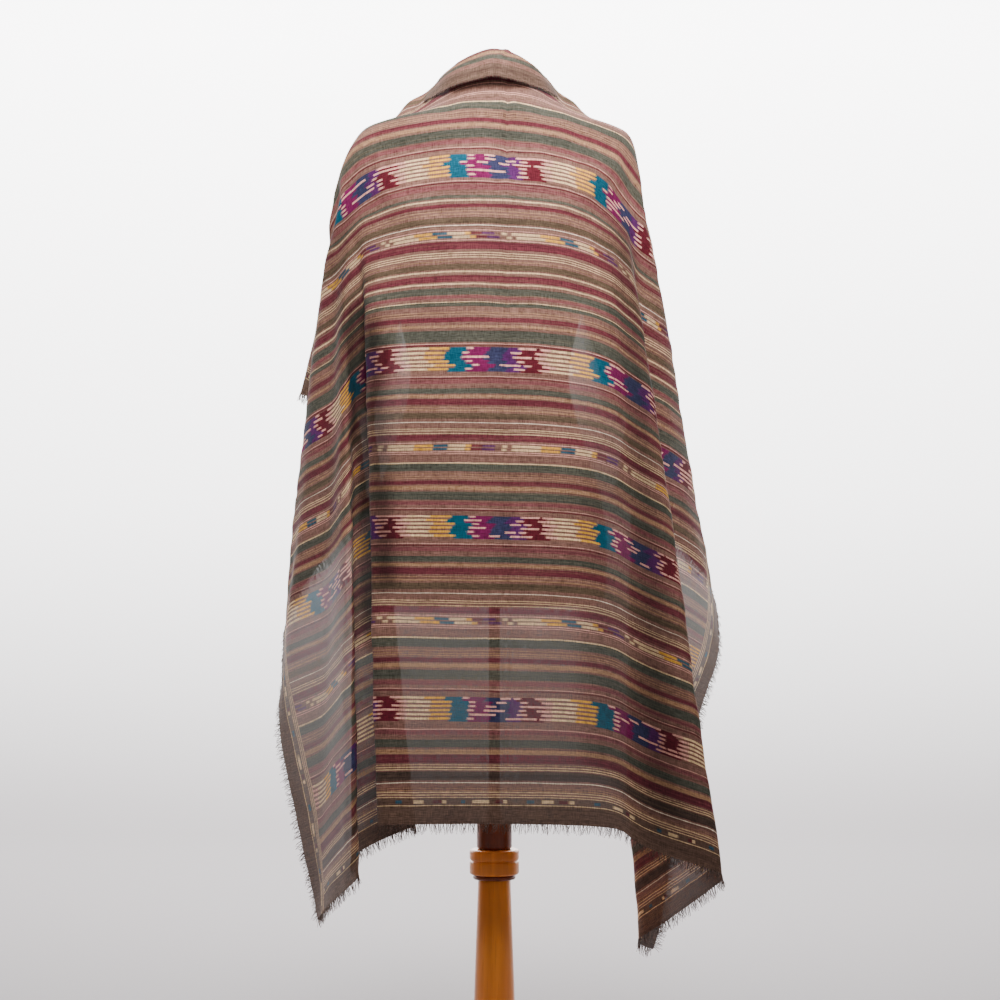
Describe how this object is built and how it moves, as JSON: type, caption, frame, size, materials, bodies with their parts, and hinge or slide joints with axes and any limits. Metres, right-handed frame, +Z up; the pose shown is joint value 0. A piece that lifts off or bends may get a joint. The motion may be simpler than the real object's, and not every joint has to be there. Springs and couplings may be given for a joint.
{
  "type": "square scarf on a dress form",
  "caption": "Square fringed woven scarf draped from behind over the shoulders of a limbless dress form on a pole, turned wooden post and round base.",
  "frame": {"origin": "centre of the round base's underside, on the floor under the post", "axes": "+Z up, +Y the way the form's chest faces, +X to the form's own right seen from behind; the scarf's wide back panel faces -Y"},
  "size_m": [0.6487, 0.3576, 1.5024],
  "materials": {
    "cloth": "matt woven, striped",
    "fringe": "matt, loose warp ends",
    "linen": "matt plain weave",
    "black_metal": "semi-gloss black",
    "dark_wood": "varnished",
    "wood": "varnished"
  },
  "bodies": {
    "root": {"scarf_left_front": "cloth", "scarf_left_side": "cloth", "scarf_back": "cloth", "scarf_right_side": "cloth", "scarf_right_front": "cloth", "fringe_hem": "fringe", "fringe_top": "fringe", "fringe_left": "fringe", "fringe_right": "fringe", "form_torso": "linen", "stand_pole": "black_metal", "stand_block": "dark_wood", "stand_collar": "wood", "stand_neck_ring": "dark_wood", "stand_post": "wood", "stand_base": "wood"}
  },
  "joints": []
}
